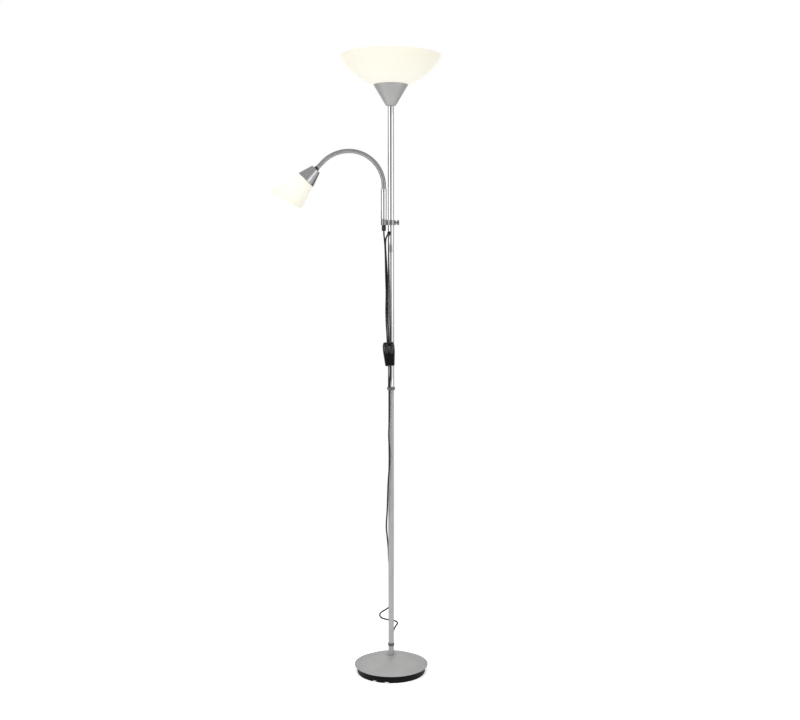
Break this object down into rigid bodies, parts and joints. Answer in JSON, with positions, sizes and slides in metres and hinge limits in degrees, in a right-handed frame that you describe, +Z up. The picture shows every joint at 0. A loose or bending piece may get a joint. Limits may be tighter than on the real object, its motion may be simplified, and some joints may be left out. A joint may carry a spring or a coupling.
{
  "type": "torchiere floor lamp with reading light",
  "caption": "Slim floor lamp: weighted round base, pole, bowl uplight, and a clamped gooseneck arm with a bell-shaded reading light; cord switch and plug.",
  "frame": {"origin": "centre of the base's underside, on the floor, on the pole's axis", "axes": "+Z up along the pole; the reading light reaches out to -X; the cord switch hangs in front of the pole, towards -Y"},
  "size_m": [0.4914, 0.2868, 1.78],
  "materials": {
    "silver_paint": "matt silver-grey lacquer",
    "bright_chrome": "polished plating",
    "zinc_steel": "zinc-plated turned steel",
    "dark_steel": "dark satin lacquer",
    "black_iron": "rough cast, painted black",
    "foam_pad": "closed-cell foam",
    "black_rubber": "smooth moulded rubber",
    "black_plastic": "glossy moulded plastic",
    "grey_plastic": "satin moulded plastic",
    "holder_plastic": "heat-resistant moulded plastic",
    "white_shade": "translucent white, satin",
    "opal_glass": "opal, satin",
    "cap_metal": "bare",
    "contact_brass": "bare",
    "cord_sheath": "smooth flexible sheath"
  },
  "bodies": {
    "stand": {"base_pad": "foam_pad", "base_weight": "black_iron", "base_dome": "silver_paint", "base_spacer": "zinc_steel", "base_washer": "zinc_steel", "base_nut": "zinc_steel", "pole_stud": "zinc_steel", "pole_foot_insert": "zinc_steel", "pole_tube_1": "silver_paint", "pole_tube_2": "silver_paint", "pole_tube_3": "bright_chrome", "pole_tube_4": "bright_chrome", "pole_coupler_low": "zinc_steel", "pole_coupler_middle": "zinc_steel", "pole_coupler_high": "zinc_steel", "pole_head_insert": "zinc_steel", "cord_clip_lower": "black_plastic", "cord_clip_upper": "grey_plastic", "cord_outlet": "black_rubber", "uplight_nipple": "zinc_steel", "uplight_cone": "silver_paint", "uplight_lock_nut": "zinc_steel", "uplight_socket": "holder_plastic", "uplight_contact": "contact_brass", "uplight_bowl": "white_shade", "uplight_shade_ring": "holder_plastic", "uplight_inner_lead": "cord_sheath", "arm_clamp": "bright_chrome", "switch_case_front": "black_plastic", "switch_case_back": "black_plastic", "switch_screws": "zinc_steel", "switch_terminals": "holder_plastic", "rocker_pin": "zinc_steel", "uplight_lead": "cord_sheath", "reading_lead": "cord_sheath", "mains_lead": "cord_sheath", "plug_body": "black_plastic", "plug_boot": "black_plastic", "plug_pins": "contact_brass"},
    "arm": {"arm_tube": "bright_chrome", "arm_foot_plug": "zinc_steel", "arm_nipple": "zinc_steel", "arm_gland": "dark_steel", "neck_ferrule": "bright_chrome", "gooseneck": "bright_chrome", "reading_inner_lead": "cord_sheath"},
    "reading_head": {"neck_end_fitting": "dark_steel", "reading_cup": "silver_paint", "reading_lock_nut": "zinc_steel", "reading_socket": "holder_plastic", "reading_contact": "contact_brass", "reading_shade": "white_shade", "reading_shade_ring": "holder_plastic"},
    "clamp_screw": {"clamp_screw": "bright_chrome"},
    "uplight_bulb": {"uplight_bulb_cap": "cap_metal", "uplight_bulb_globe": "opal_glass"},
    "reading_bulb": {"reading_bulb_cap": "cap_metal", "reading_bulb_globe": "opal_glass"},
    "rocker_uplight": {"rocker_uplight": "black_plastic"},
    "rocker_reading": {"rocker_reading": "black_plastic"}
  },
  "joints": [
    {"name": "arm_swivel", "type": "hinge", "parent": "stand", "child": "arm", "pos_m": [-0.0202, 0, 1.31285], "axis": [0, 0, 1], "range_deg": [-120, 120]},
    {"name": "neck_bend", "type": "hinge", "parent": "arm", "child": "reading_head", "pos_m": [-0.119, 0, 1.5148], "axis": [0, 1, 0], "range_deg": [-40, 40], "deforming": ["gooseneck", "reading_inner_lead"]},
    {"name": "clamp_screw_turn", "type": "hinge", "parent": "stand", "child": "clamp_screw", "pos_m": [0.0172, 0, 1.31285], "axis": [1, 0, 0], "range_deg": [-360, 0]},
    {"name": "rocker_uplight_tilt", "type": "hinge", "parent": "stand", "child": "rocker_uplight", "pos_m": [0.00095, -0.0284, 0.95277], "axis": [0.9974, 0, 0.0715], "range_deg": [-12, 0]},
    {"name": "rocker_reading_tilt", "type": "hinge", "parent": "stand", "child": "rocker_reading", "pos_m": [-0.01301, -0.0284, 0.95177], "axis": [0.9974, 0, 0.0715], "range_deg": [-12, 0]},
    {"name": "uplight_bulb_turn", "type": "hinge", "parent": "stand", "child": "uplight_bulb", "pos_m": [0, 0, 1.7], "axis": [0, 0, 1], "range_deg": [0, 360]},
    {"name": "reading_bulb_turn", "type": "hinge", "parent": "reading_head", "child": "reading_bulb", "pos_m": [-0.23306, 0, 1.4424], "axis": [-0.6947, 0, -0.7193], "range_deg": [-360, 0]}
  ]
}
